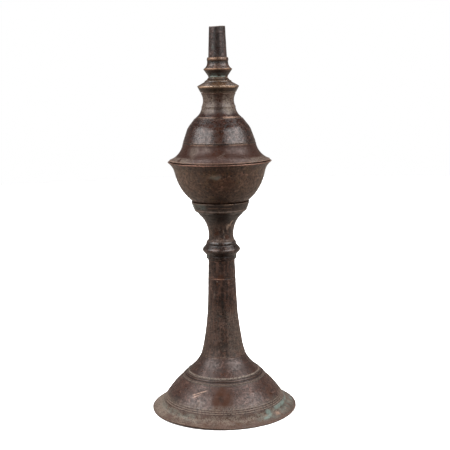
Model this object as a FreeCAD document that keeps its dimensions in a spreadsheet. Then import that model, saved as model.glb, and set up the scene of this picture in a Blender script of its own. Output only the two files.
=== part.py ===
import FreeCAD, Part
import math
import os
import re
import Sketcher

# A cast and turned bronze oil lamp on a tall pedestal, in millimetres. +Z is up, the lamp's axis is
# the Z axis, and the origin is the centre of the ring that the foot stands on. Every turned piece is
# one outline, revolved. An outline runs anticlockwise round the metal, in (radius, height) pairs.

doc = FreeCAD.newDocument("pedestal_oil_lamp")
sheet = doc.addObject("Spreadsheet::Sheet", "Sizes")

DRIVING_SIZES = [
    # Foot: a hollow dome with a drooping brim, closed at the top by a web with a spigot on it.
    ("rim_radius", 61.2), ("rim_edge", 1.2), ("rim_land", 2.4),
    ("brim_radius", 52.9), ("brim_height", 4.6),
    ("shoulder_radius", 51.3), ("shoulder_height", 8.2), ("shoulder_bend", 90.0),
    ("crown_radius", 41.9), ("crown_height", 21.0),
    ("flare_radius", 26.5), ("flare_height", 36.0), ("flare_bend", 31.5),
    ("foot_top", 46.5), ("foot_top_radius", 19.0),
    ("foot_wall", 2.0), ("web_bottom", 41.0), ("web_radius", 16.5),
    ("spigot_radius", 13.8), ("spigot_length", 4.0),
    ("foot_belt_radius", 32.75), ("foot_belt_height", 30.0), ("foot_belt_spread", 1.65),
    ("foot_line_radius", 51.05), ("foot_line_height", 8.7), ("foot_line_pitch", 1.45),
    ("foot_line_inset", 0.93),
    # Stem: a hollow tapered column.
    ("swell_radius", 16.35), ("swell_height", 57.0), ("swell_bend", 49.0), ("taper_bend", 450.0),
    ("step_radius", 13.05), ("step_height", 80.2), ("step_drop", 0.15), ("step_rise", 0.6),
    ("waist_radius", 11.25), ("waist_height", 124.0),
    ("stem_top", 127.0), ("stem_top_radius", 11.35),
    ("stem_bore_low", 11.5), ("stem_bore_high", 8.4), ("stem_bore_start", 58.0),
    ("socket_radius", 8.0), ("socket_depth", 6.0),
    ("stem_line_radius", 11.75), ("stem_line_height", 112.0),
    # Knop: a turned collar of a bead, a swelling disc and a second bead, with a spigot at each end.
    ("knop_base_radius", 11.6), ("bead_radius", 12.4), ("bead_top", 130.9), ("bead_bend", 3.1),
    ("knop_disc_radius", 15.2), ("knop_disc_low", 134.0), ("knop_disc_high", 137.1),
    ("knop_disc_bend", 2.3), ("knop_neck_radius", 12.7), ("knop_neck", 139.9),
    ("upper_bead_radius", 12.2), ("upper_bead_top", 142.3), ("upper_bead_bend", 3.7),
    ("knop_top", 143.3), ("knop_top_radius", 11.5),
    ("knop_spigot", 7.9), ("pedestal_spigot", 5.9), ("knop_spigot_length", 4.0),
    # Pedestal: a trumpet with a bead round its top.
    ("pedestal_base", 11.2), ("neck_radius", 10.45), ("neck_height", 148.5), ("neck_bend", 16.0),
    ("trumpet_radius", 17.1), ("trumpet_height", 164.0), ("trumpet_bend", 22.0),
    ("fillet_radius", 18.6), ("fillet_height", 165.7), ("fillet_rise", 0.4),
    ("ledge_line_radius", 20.8), ("ledge_line_height", 167.7),
    ("top_bead_radius", 22.0), ("top_bead_height", 169.6), ("top_bead_bend", 1.6),
    ("pedestal_top", 170.0),
    # Bowl: a round reservoir with a flared lip, and the foot ring round its underside.
    ("foot_ring_radius", 22.4), ("foot_ring_rim_radius", 24.2), ("foot_ring_top", 176.0),
    ("foot_ring_chamfer", 0.4), ("seat_gap", 0.3),
    ("bowl_radius", 37.8), ("bowl_centre", 206.0), ("bowl_wall", 2.2), ("bowl_shoulder", 194.0),
    ("bowl_throat_radius", 37.8), ("bowl_throat", 201.5),
    ("lip_radius", 42.9), ("lip_bottom", 208.5), ("lip_bend", 12.2), ("lip_chamfer", 0.3),
    ("seat_height", 209.3), ("mouth_radius", 39.6),
    # Lid: a bell with a flared brim and a neck, and a locating ring let into its underside.
    ("lid_radius", 41.6), ("lid_brim_rise", 0.6), ("lid_edge", 0.6), ("lid_edge_lean", 0.2),
    ("lid_land_radius", 40.4),
    ("bell_radius", 30.5), ("bell_height", 222.0), ("bell_bend", 17.0),
    ("belt_radius", 30.05), ("belt_height", 224.5),
    ("dome_radius", 26.2), ("dome_height", 235.2), ("dome_bend", 18.5),
    ("cap_radius", 22.95), ("cap_height", 240.0),
    ("ridge_radius", 19.8), ("ridge_height", 244.1),
    ("cove_radius", 18.7), ("cove_height", 244.9), ("cove_bend", 11.9),
    ("throat_radius", 14.1), ("throat_height", 252.2), ("throat_rise", 1.3),
    ("throat_step", 13.6), ("throat_step_height", 254.5), ("throat_bend", 11.0),
    ("lid_neck_radius", 14.0), ("lid_neck_height", 263.4), ("lid_wall", 2.0),
    ("neck_lip_radius", 14.25), ("neck_lip_rise", 0.4), ("neck_top", 264.8), ("neck_bore", 10.3),
    ("ring_radius", 35.6), ("ring_wall", 1.2), ("ring_bottom", 204.0), ("ring_top", 211.3),
    ("ring_lead", 0.5),
    # Burner: a flanged cap with a plug, a turned collar and the wick tube.
    ("plug_gap", 0.3), ("plug_length", 12.0), ("plug_lead", 0.6), ("wick_bore", 5.2),
    ("cap_base_radius", 14.5), ("flange_radius", 17.1), ("flange_height", 269.6),
    ("flange_edge", 0.5), ("ledge_radius", 11.05), ("ledge_height", 273.4), ("ledge_rise", 0.8),
    ("ledge_bend", 4.5), ("cap_top", 276.8), ("cap_top_radius", 8.15),
    ("tenon_radius", 6.9), ("tenon_length", 6.0),
    ("collar_neck", 278.0), ("collar_neck_radius", 8.05),
    ("collar_ring_radius", 11.7), ("collar_ring", 283.2), ("collar_ring_edge", 0.6),
    ("collar_cove_radius", 8.75), ("collar_cove", 287.5), ("collar_cove_bend", 5.5),
    ("collar_groove_radius", 8.5), ("collar_groove", 289.6), ("collar_bead_bend", 3.8),
    ("collar_top", 293.0), ("collar_top_radius", 8.35),
    ("tube_seat", 286.2), ("tube_shank_radius", 7.6), ("tube_shank_top", 294.0),
    ("tube_top", 318.0), ("tube_top_radius", 6.6), ("tube_wall", 0.9),
    # Tie bolt, its washers and its square nut, which clamp the base together.
    ("bolt_radius", 3.1), ("bolt_hole", 3.4), ("bolt_tail", 32.0), ("bolt_chamfer", 0.5),
    ("head_radius", 5.6), ("head_edge", 0.8), ("head_dome", 2.6),
    ("bowl_washer_radius", 8.5), ("bowl_washer_thickness", 1.4),
    ("foot_washer_radius", 9.5), ("foot_washer_thickness", 1.2),
    ("nut_width", 12.0), ("nut_thickness", 5.5), ("bore_overrun", 1.0), ("thread_gap", 0.05),
    ("slip_gap", 0.1),
    # Lines round the turned pieces: the radius of their round section.
    ("fine_line", 0.35), ("bold_line", 0.6), ("raised_line", 0.4),
]

ALIASES = set()
for row, (alias, size) in enumerate(DRIVING_SIZES, start=1):
    sheet.set("A%d" % row, alias)
    sheet.set("B%d" % row, str(size))
    sheet.setAlias("B%d" % row, alias)
    ALIASES.add(alias)
doc.recompute()


def bound(formula):
    """The formula with each alias read from the sheet, as setExpression wants it."""
    def from_sheet(word):
        return "Sizes." + word[0] if word[0] in ALIASES else word[0]
    return re.sub(r"[a-z_]+", from_sheet, formula)


def measure(formula):
    """The formula's present value in millimetres."""
    return float(sheet.evalExpression(bound(formula).replace("Sizes.", "")))


def line(radius, height):
    """A straight stretch of an outline that ends at this radius and height."""
    return {"radius": radius, "height": height, "bend": None, "side": 0}


def hollow(radius, height, bend):
    """An arc, turning right, that ends at this radius and height: a cove on the outside."""
    return {"radius": radius, "height": height, "bend": bend, "side": -1}


def round_(radius, height, bend):
    """An arc, turning left, that ends at this radius and height: a swelling on the outside."""
    return {"radius": radius, "height": height, "bend": bend, "side": 1}


def arc_between(start, end, bend, side):
    """The short arc of radius bend from start to end, with its centre on the left (1) or right (-1)."""
    chord = end.sub(start)
    across = FreeCAD.Vector(-chord.y, chord.x, 0).normalize()
    offset = math.sqrt(bend ** 2 - (chord.Length / 2) ** 2)
    centre = start.add(chord * 0.5).add(across * (offset * side))
    first, last = (start, end) if side > 0 else (end, start)
    begin = math.atan2(first.y - centre.y, first.x - centre.x)
    finish = math.atan2(last.y - centre.y, last.x - centre.x)
    circle = Part.Circle(centre, FreeCAD.Vector(0, 0, 1), bend)
    return Part.ArcOfCircle(circle, begin, finish)


def plane_of(body, role):
    """The body's own origin plane with this role."""
    return next(item for item in body.Origin.OriginFeatures if item.Role == role)


def new_body(name):
    """An empty body whose label names its file."""
    body = doc.addObject("PartDesign::Body", name)
    body.Label = name
    body.Placement = FreeCAD.Placement()
    return body


def new_sketch(body, name, role="XZ_Plane"):
    """A sketch on one of the body's origin planes."""
    sketch = body.newObject("Sketcher::SketchObject", name)
    sketch.AttachmentSupport = [(plane_of(body, role), "")]
    sketch.MapMode = "FlatFace"
    return sketch


def pin(sketch, geometry, vertex, radius, height):
    """Hold a vertex at a radius and a height that are read from the sheet."""
    for kind, axis, formula in (("DistanceX", -2, radius), ("DistanceY", -1, height)):
        size = measure(formula)
        if size == 0:
            sketch.addConstraint(Sketcher.Constraint("PointOnObject", geometry, vertex, axis))
        else:
            index = sketch.addConstraint(Sketcher.Constraint(kind, -1, 1, geometry, vertex, size))
            sketch.setExpression("Constraints[%d]" % index, bound(formula))


def draw_outline(sketch, outline):
    """Draw a closed outline and hold each of its corners and bends to the sheet."""
    corners = [FreeCAD.Vector(measure(step["radius"]), measure(step["height"]), 0) for step in outline]
    pieces = []
    for index, step in enumerate(outline):
        start, end = corners[index - 1], corners[index]
        if step["bend"] is None:
            geometry = sketch.addGeometry(Part.LineSegment(start, end), False)
        else:
            arc = arc_between(start, end, measure(step["bend"]), step["side"])
            geometry = sketch.addGeometry(arc, False)
        # An arc always runs anticlockwise, so one that turns right has its ends the other way round.
        first, last = (2, 1) if step["side"] < 0 else (1, 2)
        pieces.append((geometry, first, last))
    for index, step in enumerate(outline):
        geometry, first, last = pieces[index]
        following, its_first, its_last = pieces[(index + 1) % len(pieces)]
        sketch.addConstraint(Sketcher.Constraint("Coincident", geometry, last, following, its_first))
        pin(sketch, geometry, last, step["radius"], step["height"])
        if step["bend"] is not None:
            size = measure(step["bend"])
            number = sketch.addConstraint(Sketcher.Constraint("Radius", geometry, size))
            sketch.setExpression("Constraints[%d]" % number, bound(step["bend"]))


def revolve(body, name, sketch, kind="PartDesign::Revolution"):
    """Turn a sketch right round the lamp's axis."""
    feature = body.newObject(kind, name)
    feature.Profile = sketch
    feature.ReferenceAxis = (sketch, ["V_Axis"])
    feature.Angle = 360.0
    sketch.Visibility = False
    return feature


def turned(name, outline):
    """A turned piece: one outline revolved about the lamp's axis."""
    body = new_body(name)
    sketch = new_sketch(body, name + "_outline")
    draw_outline(sketch, outline)
    revolve(body, name + "_turned", sketch)
    return body


def ring_line(body, name, radius, height, section, kind):
    """A half-round line round a turned piece, cut in or raised, centred on its surface."""
    sketch = new_sketch(body, name + "_section")
    centre = FreeCAD.Vector(measure(radius), measure(height), 0)
    circle = sketch.addGeometry(Part.Circle(centre, FreeCAD.Vector(0, 0, 1), measure(section)), False)
    pin(sketch, circle, 3, radius, height)
    number = sketch.addConstraint(Sketcher.Constraint("Radius", circle, measure(section)))
    sketch.setExpression("Constraints[%d]" % number, bound(section))
    doc.recompute()
    before = body.Shape.Volume
    revolve(body, name, sketch, kind)
    doc.recompute()
    change = body.Shape.Volume - before
    if (change > 0) != (kind == "PartDesign::Revolution") or abs(change) < 0.01:
        raise RuntimeError("%s changed the volume by %.3f" % (name, change))


def scribe(body, name, radius, height, section="fine_line"):
    """A line cut into a turned piece."""
    ring_line(body, name, radius, height, section, "PartDesign::Groove")


def raise_line(body, name, radius, height, section="raised_line"):
    """A fine bead left standing on a turned piece."""
    ring_line(body, name, radius, height, section, "PartDesign::Revolution")


def make_foot():
    """Hollow domed foot: brim, riser, dome and flare. The inside follows the outside, a wall thinner,
    so each inner corner stands in and down from its outer one by as much as the slope there asks."""
    outline = [
        line("rim_radius - rim_land", "0"),
        line("rim_radius", "0"),
        line("rim_radius", "rim_edge"),
        line("brim_radius", "brim_height"),
        line("shoulder_radius", "shoulder_height"),
        round_("crown_radius", "crown_height", "shoulder_bend"),
        line("flare_radius", "flare_height"),
        hollow("foot_top_radius", "foot_top", "flare_bend"),
        line("spigot_radius", "foot_top"),
        line("spigot_radius", "foot_top + spigot_length"),
        line("bolt_hole", "foot_top + spigot_length"),
        line("bolt_hole", "web_bottom"),
        line("web_radius", "web_bottom"),
        line("flare_radius - 0.7 * foot_wall", "flare_height - 0.85 * foot_wall"),
        line("crown_radius - 0.8 * foot_wall", "crown_height - 0.75 * foot_wall"),
        hollow("shoulder_radius - foot_wall", "shoulder_height - 0.4 * foot_wall",
               "shoulder_bend - foot_wall"),
        line("brim_radius - 0.8 * foot_wall", "brim_height - 0.8 * foot_wall"),
    ]
    body = turned("foot", outline)
    scribe(body, "foot_belt", "foot_belt_radius", "foot_belt_height", "bold_line")
    raise_line(body, "foot_upper_bead", "foot_belt_radius - foot_belt_spread",
               "foot_belt_height + foot_belt_spread")
    raise_line(body, "foot_lower_bead", "foot_belt_radius + foot_belt_spread",
               "foot_belt_height - foot_belt_spread")
    for number in range(3):
        scribe(body, "foot_line_%d" % (number + 1),
               "foot_line_radius - %d * foot_line_inset" % number,
               "foot_line_height + %d * foot_line_pitch" % number)


def make_stem():
    """Hollow tapered column that swells out to the width of the foot's top."""
    outline = [
        line("foot_top_radius", "foot_top"),
        hollow("swell_radius", "swell_height", "swell_bend"),
        hollow("step_radius", "step_height", "taper_bend"),
        line("step_radius - step_drop", "step_height + step_rise"),
        line("waist_radius", "waist_height"),
        line("stem_top_radius", "stem_top"),
        line("socket_radius", "stem_top"),
        line("socket_radius", "stem_top - socket_depth"),
        line("stem_bore_high", "stem_top - socket_depth"),
        line("stem_bore_low", "stem_bore_start"),
        line("spigot_radius + slip_gap", "foot_top + spigot_length + slip_gap"),
        line("spigot_radius + slip_gap", "foot_top"),
    ]
    body = turned("stem", outline)
    scribe(body, "stem_line", "stem_line_radius", "stem_line_height")


def make_knop():
    """Turned collar between stem and pedestal, with a spigot into each."""
    outline = [
        line("knop_spigot", "stem_top - knop_spigot_length"),
        line("knop_spigot", "stem_top"),
        line("knop_base_radius", "stem_top"),
        round_("bead_radius", "bead_top", "bead_bend"),
        line("knop_disc_radius", "knop_disc_low"),
        round_("knop_disc_radius", "knop_disc_high", "knop_disc_bend"),
        line("knop_neck_radius", "knop_neck"),
        round_("upper_bead_radius", "upper_bead_top", "upper_bead_bend"),
        line("knop_top_radius", "knop_top"),
        line("pedestal_spigot", "knop_top"),
        line("pedestal_spigot", "knop_top + knop_spigot_length"),
        line("bolt_hole", "knop_top + knop_spigot_length"),
        line("bolt_hole", "stem_top - knop_spigot_length"),
    ]
    turned("stem_knop", outline)


def make_pedestal():
    """Trumpet that carries the bowl on a flat, beaded top."""
    outline = [
        line("pedestal_base", "knop_top"),
        hollow("neck_radius", "neck_height", "neck_bend"),
        hollow("trumpet_radius", "trumpet_height", "trumpet_bend"),
        line("fillet_radius", "fillet_height"),
        line("fillet_radius", "fillet_height + fillet_rise"),
        line("ledge_line_radius", "ledge_line_height"),
        round_("top_bead_radius", "top_bead_height", "top_bead_bend"),
        line("top_bead_radius", "pedestal_top"),
        line("bolt_hole", "pedestal_top"),
        line("bolt_hole", "knop_top + knop_spigot_length + slip_gap"),
        line("pedestal_spigot + slip_gap", "knop_top + knop_spigot_length + slip_gap"),
        line("pedestal_spigot + slip_gap", "knop_top"),
    ]
    turned("bowl_pedestal", outline)


def make_foot_ring():
    """Ring round the bowl's underside, hollowed out to the bowl's curve."""
    hollowed = "(bowl_radius + seat_gap)"
    outline = [
        line("foot_ring_radius - foot_ring_chamfer", "pedestal_top"),
        line("foot_ring_radius", "pedestal_top + foot_ring_chamfer"),
        line("foot_ring_rim_radius", "foot_ring_top - foot_ring_chamfer"),
        line("foot_ring_rim_radius - foot_ring_chamfer", "foot_ring_top"),
        line("sqrt(%s^2 - (bowl_centre - foot_ring_top)^2)" % hollowed, "foot_ring_top"),
        hollow("sqrt(%s^2 - (bowl_centre - pedestal_top)^2)" % hollowed, "pedestal_top", hollowed),
    ]
    turned("bowl_foot_ring", outline)


def make_bowl():
    """Round oil bowl with a flat under it, a hole for the tie bolt and a flared lip."""
    inside = "(bowl_radius - bowl_wall)"
    floor = "(pedestal_top + bowl_wall)"
    outline = [
        line("bolt_hole", "pedestal_top"),
        line("sqrt(bowl_radius^2 - (bowl_centre - pedestal_top)^2)", "pedestal_top"),
        round_("sqrt(bowl_radius^2 - (bowl_centre - bowl_shoulder)^2)", "bowl_shoulder", "bowl_radius"),
        line("bowl_throat_radius", "bowl_throat"),
        hollow("lip_radius", "lip_bottom", "lip_bend"),
        line("lip_radius", "seat_height - lip_chamfer"),
        line("lip_radius - lip_chamfer", "seat_height"),
        line("mouth_radius", "seat_height"),
        round_("bowl_throat_radius - bowl_wall", "bowl_throat", "lip_bend + bowl_wall"),
        line("sqrt(%s^2 - (bowl_centre - bowl_shoulder)^2)" % inside, "bowl_shoulder"),
        hollow("sqrt(%s^2 - (bowl_centre - %s)^2)" % (inside, floor), floor, inside),
        line("bolt_hole", floor),
    ]
    turned("oil_bowl", outline)


def make_lid():
    """Bell-shaped lid: flared brim, belt, dome, cove, throat and neck, bored through for the burner.
    The inside follows the outside, a wall thinner, up to the solid neck."""
    outline = [
        line("ring_radius + thread_gap", "seat_height"),
        line("lid_land_radius", "seat_height"),
        line("lid_radius", "seat_height + lid_brim_rise"),
        line("lid_radius - lid_edge_lean", "seat_height + lid_brim_rise + lid_edge"),
        hollow("bell_radius", "bell_height", "bell_bend"),
        line("belt_radius", "belt_height"),
        line("dome_radius", "dome_height"),
        round_("cap_radius", "cap_height", "dome_bend"),
        line("ridge_radius", "ridge_height"),
        line("cove_radius", "cove_height"),
        hollow("throat_radius", "throat_height", "cove_bend"),
        line("throat_radius", "throat_height + throat_rise"),
        line("throat_step", "throat_step_height"),
        hollow("lid_neck_radius", "lid_neck_height", "throat_bend"),
        line("neck_lip_radius", "lid_neck_height + neck_lip_rise"),
        line("neck_lip_radius", "neck_top"),
        line("neck_bore", "neck_top"),
        line("neck_bore", "throat_height"),
        line("throat_radius - 0.6 * lid_wall", "throat_height - 1.7 * lid_wall"),
        line("ridge_radius - lid_wall", "ridge_height - 0.4 * lid_wall"),
        line("cap_radius - lid_wall", "cap_height"),
        line("dome_radius - lid_wall", "dome_height"),
        line("bell_radius - lid_wall", "bell_height"),
        round_("ring_radius - lid_wall", "ring_top", "bell_bend + lid_wall"),
        line("ring_radius + thread_gap", "ring_top"),
    ]
    body = turned("lid", outline)
    scribe(body, "lid_belt_line", "belt_radius", "belt_height")
    scribe(body, "lid_ridge_line", "(ridge_radius + cove_radius) / 2", "(ridge_height + cove_height) / 2")


def make_locating_ring():
    """Plain ring let into the lid's underside, which keeps the lid centred in the bowl's mouth."""
    outline = [
        line("ring_radius - ring_wall", "ring_bottom"),
        line("ring_radius - ring_lead", "ring_bottom"),
        line("ring_radius", "ring_bottom + ring_lead"),
        line("ring_radius", "ring_top"),
        line("ring_radius - ring_wall", "ring_top"),
    ]
    turned("lid_locating_ring", outline)


def make_burner_cap():
    """Flanged cap that closes the lid's neck, with a long plug below and a socket above."""
    plug_radius = "neck_bore - plug_gap"
    outline = [
        line("wick_bore", "neck_top - plug_length"),
        line(plug_radius + " - plug_lead", "neck_top - plug_length"),
        line(plug_radius, "neck_top - plug_length + plug_lead"),
        line(plug_radius, "neck_top"),
        line("cap_base_radius", "neck_top"),
        line("flange_radius", "flange_height"),
        line("flange_radius", "flange_height + flange_edge"),
        line("ledge_radius", "ledge_height"),
        line("ledge_radius", "ledge_height + ledge_rise"),
        hollow("cap_top_radius", "cap_top", "ledge_bend"),
        line("tenon_radius + thread_gap", "cap_top"),
        line("tenon_radius + thread_gap", "cap_top - tenon_length"),
        line("wick_bore", "cap_top - tenon_length"),
    ]
    turned("burner_cap", outline)


def make_burner_collar():
    """Turned collar with a sharp ring, a cove and a bead, screwed into the cap, that holds the tube."""
    outline = [
        line("wick_bore", "cap_top - tenon_length"),
        line("tenon_radius", "cap_top - tenon_length"),
        line("tenon_radius", "cap_top"),
        line("collar_neck_radius", "cap_top"),
        line("collar_neck_radius", "collar_neck"),
        line("collar_ring_radius", "collar_ring"),
        line("collar_ring_radius", "collar_ring + collar_ring_edge"),
        hollow("collar_cove_radius", "collar_cove", "collar_cove_bend"),
        line("collar_groove_radius", "collar_groove"),
        round_("collar_top_radius", "collar_top", "collar_bead_bend"),
        line("tube_shank_radius + thread_gap", "collar_top"),
        line("tube_shank_radius + thread_gap", "tube_seat"),
        line("wick_bore", "tube_seat"),
    ]
    turned("burner_collar", outline)


def make_wick_tube():
    """Tapered tube that the wick comes up through, open at both ends."""
    outline = [
        line("tube_shank_radius - tube_wall", "tube_seat"),
        line("tube_shank_radius", "tube_seat"),
        line("tube_shank_radius", "tube_shank_top"),
        line("tube_top_radius", "tube_top"),
        line("tube_top_radius - tube_wall", "tube_top"),
        line("tube_shank_radius - tube_wall", "tube_shank_top"),
    ]
    turned("wick_tube", outline)


def make_tie_bolt():
    """Long bolt down the lamp's axis, with a domed head in the bowl."""
    head_seat = "pedestal_top + bowl_wall + bowl_washer_thickness"
    dome_bend = "(head_radius^2 + head_dome^2) / (2 * head_dome)"
    outline = [
        line("0", "bolt_tail"),
        line("bolt_radius - bolt_chamfer", "bolt_tail"),
        line("bolt_radius", "bolt_tail + bolt_chamfer"),
        line("bolt_radius", head_seat),
        line("head_radius", head_seat),
        line("head_radius", head_seat + " + head_edge"),
        round_("0", head_seat + " + head_edge + head_dome", dome_bend),
    ]
    turned("tie_bolt", outline)


def make_washers():
    """One washer under the bolt's head, in the bowl, and one above its nut, in the foot."""
    for name, bottom in (("bowl_washer", "pedestal_top + bowl_wall"),
                         ("foot_washer", "web_bottom - foot_washer_thickness")):
        top = "%s + %s_thickness" % (bottom, name)
        outline = [
            line("bolt_hole", bottom),
            line(name + "_radius", bottom),
            line(name + "_radius", top),
            line("bolt_hole", top),
        ]
        turned(name, outline)


def make_nut():
    """Square nut on the bolt's tail: a square plate, bored and then chamfered."""
    body = new_body("foot_nut")
    top = "web_bottom - foot_washer_thickness"
    square = new_sketch(body, "foot_nut_square", "XY_Plane")
    square.setExpression("AttachmentOffset.Base.z", bound(top + " - nut_thickness"))
    half = measure("nut_width / 2")
    corners = [FreeCAD.Vector(x * half, y * half, 0) for x, y in ((-1, -1), (1, -1), (1, 1), (-1, 1))]
    for index, corner in enumerate(corners):
        square.addGeometry(Part.LineSegment(corner, corners[(index + 1) % 4]), False)
    for index in range(4):
        square.addConstraint(Sketcher.Constraint("Coincident", index, 2, (index + 1) % 4, 1))
        square.addConstraint(Sketcher.Constraint("Horizontal" if index % 2 == 0 else "Vertical", index))
    square.addConstraint(Sketcher.Constraint("Symmetric", 0, 1, 1, 2, -1, 1))
    for edge in (0, 1):
        number = square.addConstraint(Sketcher.Constraint("Distance", edge, 2 * half))
        square.setExpression("Constraints[%d]" % number, bound("nut_width"))
    plate = body.newObject("PartDesign::Pad", "foot_nut_plate")
    plate.Profile = square
    plate.setExpression("Length", bound("nut_thickness"))
    doc.recompute()
    blank_volume = body.Shape.Volume
    bore = new_sketch(body, "foot_nut_bore_outline")
    draw_outline(bore, [
        line("0", top + " - nut_thickness - bore_overrun"),
        line("bolt_radius + thread_gap", top + " - nut_thickness - bore_overrun"),
        line("bolt_radius + thread_gap", top + " + bore_overrun"),
        line("0", top + " + bore_overrun"),
    ])
    revolve(body, "foot_nut_bore", bore, "PartDesign::Groove")
    doc.recompute()
    if body.Shape.Volume >= blank_volume:
        raise RuntimeError("the nut's bore cut nothing")


for make in (make_foot, make_stem, make_knop, make_pedestal, make_foot_ring, make_bowl, make_lid,
             make_locating_ring, make_burner_cap, make_burner_collar, make_wick_tube, make_tie_bolt,
             make_washers, make_nut):
    make()
doc.recompute()

for item in doc.Objects:
    if "Invalid" in item.State or "Error" in item.State:
        raise RuntimeError("%s is %s" % (item.Name, item.State))

bodies = [item for item in doc.Objects if item.TypeId == "PartDesign::Body"]
for body in bodies:
    if body.Shape.isNull() or not body.Shape.isValid() or len(body.Shape.Solids) != 1:
        raise RuntimeError("%s has no sound solid" % body.Label)

os.makedirs("parts", exist_ok=True)
for body in bodies:
    body.Shape.exportStep("parts/%s.step" % body.Label)
    box = body.Shape.optimalBoundingBox(False, False)
    print("%-18s %8.1f mm3, radius %5.2f, height %6.2f to %6.2f" % (
        body.Label, body.Shape.Volume, box.XMax, box.ZMin, box.ZMax))
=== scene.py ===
"""The looks of a tall pedestal oil lamp in patinated bronze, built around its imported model.

Each piece but the nut and the washers is its CAD outline spun again with long wear on it: rounded
edges, dents, tool marks, a warped brim, scratches and patches of corrosion. The stage is set out in
metres and the pieces are worn in millimetres. An azimuth is in degrees from the front (-Y),
to the right.
"""
import itertools
import math

import bmesh
import bpy
import numpy as np
from mathutils import Matrix, Vector


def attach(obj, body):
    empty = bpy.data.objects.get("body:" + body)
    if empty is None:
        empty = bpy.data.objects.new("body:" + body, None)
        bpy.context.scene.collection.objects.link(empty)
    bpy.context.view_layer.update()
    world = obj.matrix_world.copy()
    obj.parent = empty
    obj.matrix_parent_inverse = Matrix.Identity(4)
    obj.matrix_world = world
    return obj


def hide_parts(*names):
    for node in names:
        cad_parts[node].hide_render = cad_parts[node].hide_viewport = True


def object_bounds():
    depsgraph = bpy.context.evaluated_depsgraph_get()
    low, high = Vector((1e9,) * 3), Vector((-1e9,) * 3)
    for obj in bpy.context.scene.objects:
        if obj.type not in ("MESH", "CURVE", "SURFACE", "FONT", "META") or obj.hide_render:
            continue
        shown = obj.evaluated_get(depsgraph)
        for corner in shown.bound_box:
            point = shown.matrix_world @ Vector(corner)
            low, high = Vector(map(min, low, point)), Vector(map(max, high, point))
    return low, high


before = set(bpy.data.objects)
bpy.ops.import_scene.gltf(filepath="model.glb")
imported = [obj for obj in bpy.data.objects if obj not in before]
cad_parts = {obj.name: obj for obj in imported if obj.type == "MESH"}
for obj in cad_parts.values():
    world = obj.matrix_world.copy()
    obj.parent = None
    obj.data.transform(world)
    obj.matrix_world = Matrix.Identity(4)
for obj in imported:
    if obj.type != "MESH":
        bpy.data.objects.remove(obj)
cad_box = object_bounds()

MM = 0.001
WELD = 2e-6

# The outlines, in mm and radians: the spacing they are worked at, the turn that makes a corner, and the
# turn that calls for another row of the mesh.
SPACING = 0.2
CORNER = math.radians(16)
ROW_TURN = math.radians(8)
# A row within this much of the outline's largest radius at its height is on the outside.
OUTSIDE = 0.35
# Edges and hollows show where the outline turns over this far each way.
BEND_REACH = 0.6


# ---------------------------------------------------------------- camera, light and floor

VIEW_DISTANCE, VIEW_HEIGHT, VIEW_SIDE = 0.7766, 0.2795, 0.0034
VIEW_PITCH, VIEW_ROLL = math.radians(9.07), math.radians(1.10)
LENS_MM, SENSOR_MM = 75.7, 36.0


def add_camera():
    """The camera stands in front, a little above the lid, looks down and is not quite level."""
    data = bpy.data.cameras.new("camera")
    data.lens = LENS_MM
    data.sensor_width = SENSOR_MM
    data.clip_end = 50.0
    camera = bpy.data.objects.new("camera", data)
    bpy.context.collection.objects.link(camera)
    aim = Matrix.Rotation(math.pi / 2 - VIEW_PITCH, 4, "X") @ Matrix.Rotation(-VIEW_ROLL, 4, "Z")
    camera.matrix_world = Matrix.Translation((VIEW_SIDE, -VIEW_DISTANCE, VIEW_HEIGHT)) @ aim
    bpy.context.scene.camera = camera


def add_softbox(name, azimuth, elevation, distance, wide, tall, watts):
    """A rectangular studio light that faces a point just above the lamp's middle."""
    data = bpy.data.lights.new(name, "AREA")
    data.shape = "RECTANGLE"
    data.size = wide
    data.size_y = tall
    data.energy = watts
    light = bpy.data.objects.new(name, data)
    bpy.context.collection.objects.link(light)
    turn, rise = math.radians(azimuth), math.radians(elevation)
    middle = Vector((0, 0, cad_box[1][2] * 0.6))
    away = Vector((math.sin(turn) * math.cos(rise), -math.cos(turn) * math.cos(rise), math.sin(rise)))
    light.location = middle + distance * away
    light.rotation_euler = away.to_track_quat("Z", "Y").to_euler()
    return light


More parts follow.
